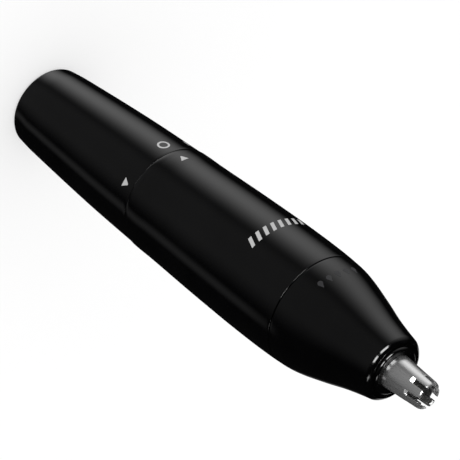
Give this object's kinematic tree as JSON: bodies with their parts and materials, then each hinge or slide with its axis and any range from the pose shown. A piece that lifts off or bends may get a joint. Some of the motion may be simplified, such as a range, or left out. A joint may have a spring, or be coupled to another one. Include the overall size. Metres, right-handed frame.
{
  "type": "nose hair trimmer",
  "caption": "Pen-shaped battery trimmer with a twist base that switches it, a tapered gloss black handle, a twist-off head and a slotted metal guard tube with a spinning cutter.",
  "frame": {"origin": "centre of the flat end of the tail", "axes": "+Z along the body's axis to the cutting tip, -Y to the printed switch marks"},
  "size_m": [0.0264, 0.0264, 0.1264],
  "materials": {
    "body_black": "gloss",
    "nose_black": "gloss",
    "inner_plastic": "matte",
    "clear_liner": "satin",
    "coupler_plastic": "satin",
    "spring_steel": "bright",
    "contact_brass": "satin",
    "bush_brass": "satin",
    "seal_rubber": "matte",
    "cell_steel": "satin",
    "cell_label": "gloss",
    "motor_steel": "satin",
    "magnet_iron": "matte",
    "screw_steel": "satin",
    "guard_steel": "satin",
    "blade_steel": "satin"
  },
  "bodies": {
    "base": {"base_cover": "body_black", "battery_liner": "clear_liner", "negative_contact": "spring_steel", "negative_spring": "spring_steel"},
    "switch": {"switch_rotor": "inner_plastic", "switch_contact": "contact_brass"},
    "handle": {"main_housing": "body_black", "base_seal": "seal_rubber", "battery_cell": "cell_steel", "battery_wrap": "cell_label", "chassis": "inner_plastic", "positive_contact": "spring_steel", "switch_leaf": "contact_brass", "motor_can": "motor_steel", "motor_end_cap": "inner_plastic", "motor_terminals": "contact_brass", "motor_magnets": "magnet_iron", "motor_cushion": "seal_rubber", "front_frame": "inner_plastic", "frame_screws": "screw_steel", "shaft_seal": "seal_rubber", "head_seal": "seal_rubber"},
    "drive": {"motor_shaft": "screw_steel", "motor_armature": "magnet_iron", "drive_coupler": "coupler_plastic"},
    "head_ring": {"head_lock_ring": "inner_plastic"},
    "head": {"head_shell": "body_black", "guard_holder": "nose_black", "guard_tube": "guard_steel", "blade_retainer": "inner_plastic", "cutter_bush": "bush_brass", "thrust_washer": "screw_steel"},
    "cutter": {"cutter_shaft": "coupler_plastic", "cutter_spring": "spring_steel", "inner_cutter": "blade_steel"}
  },
  "joints": [
    {"name": "base_release", "type": "slide", "parent": "base", "child": "switch", "axis": [0, 0, 1], "range_m": [0, 0.06]},
    {"name": "power_twist", "type": "hinge", "parent": "switch", "child": "handle", "pos_m": [0, 0, 0.0442], "axis": [0, 0, 1], "range_deg": [-33, 60]},
    {"name": "motor_spin", "type": "hinge", "parent": "handle", "child": "drive", "pos_m": [0, 0, 0.07], "axis": [0, 0, 1], "continuous": true},
    {"name": "head_twist", "type": "hinge", "parent": "handle", "child": "head_ring", "pos_m": [0, 0, 0.0942], "axis": [0, 0, 1], "range_deg": [0, 20]},
    {"name": "head_release", "type": "slide", "parent": "head_ring", "child": "head", "axis": [0, 0, 1], "range_m": [0, 0.035]},
    {"name": "cutter_spin", "type": "hinge", "parent": "head", "child": "cutter", "pos_m": [0, 0, 0.114], "axis": [0, 0, 1], "continuous": true}
  ],
  "couplings": [
    {"joint": "cutter_spin", "follows": "motor_spin", "ratio": 1}
  ]
}
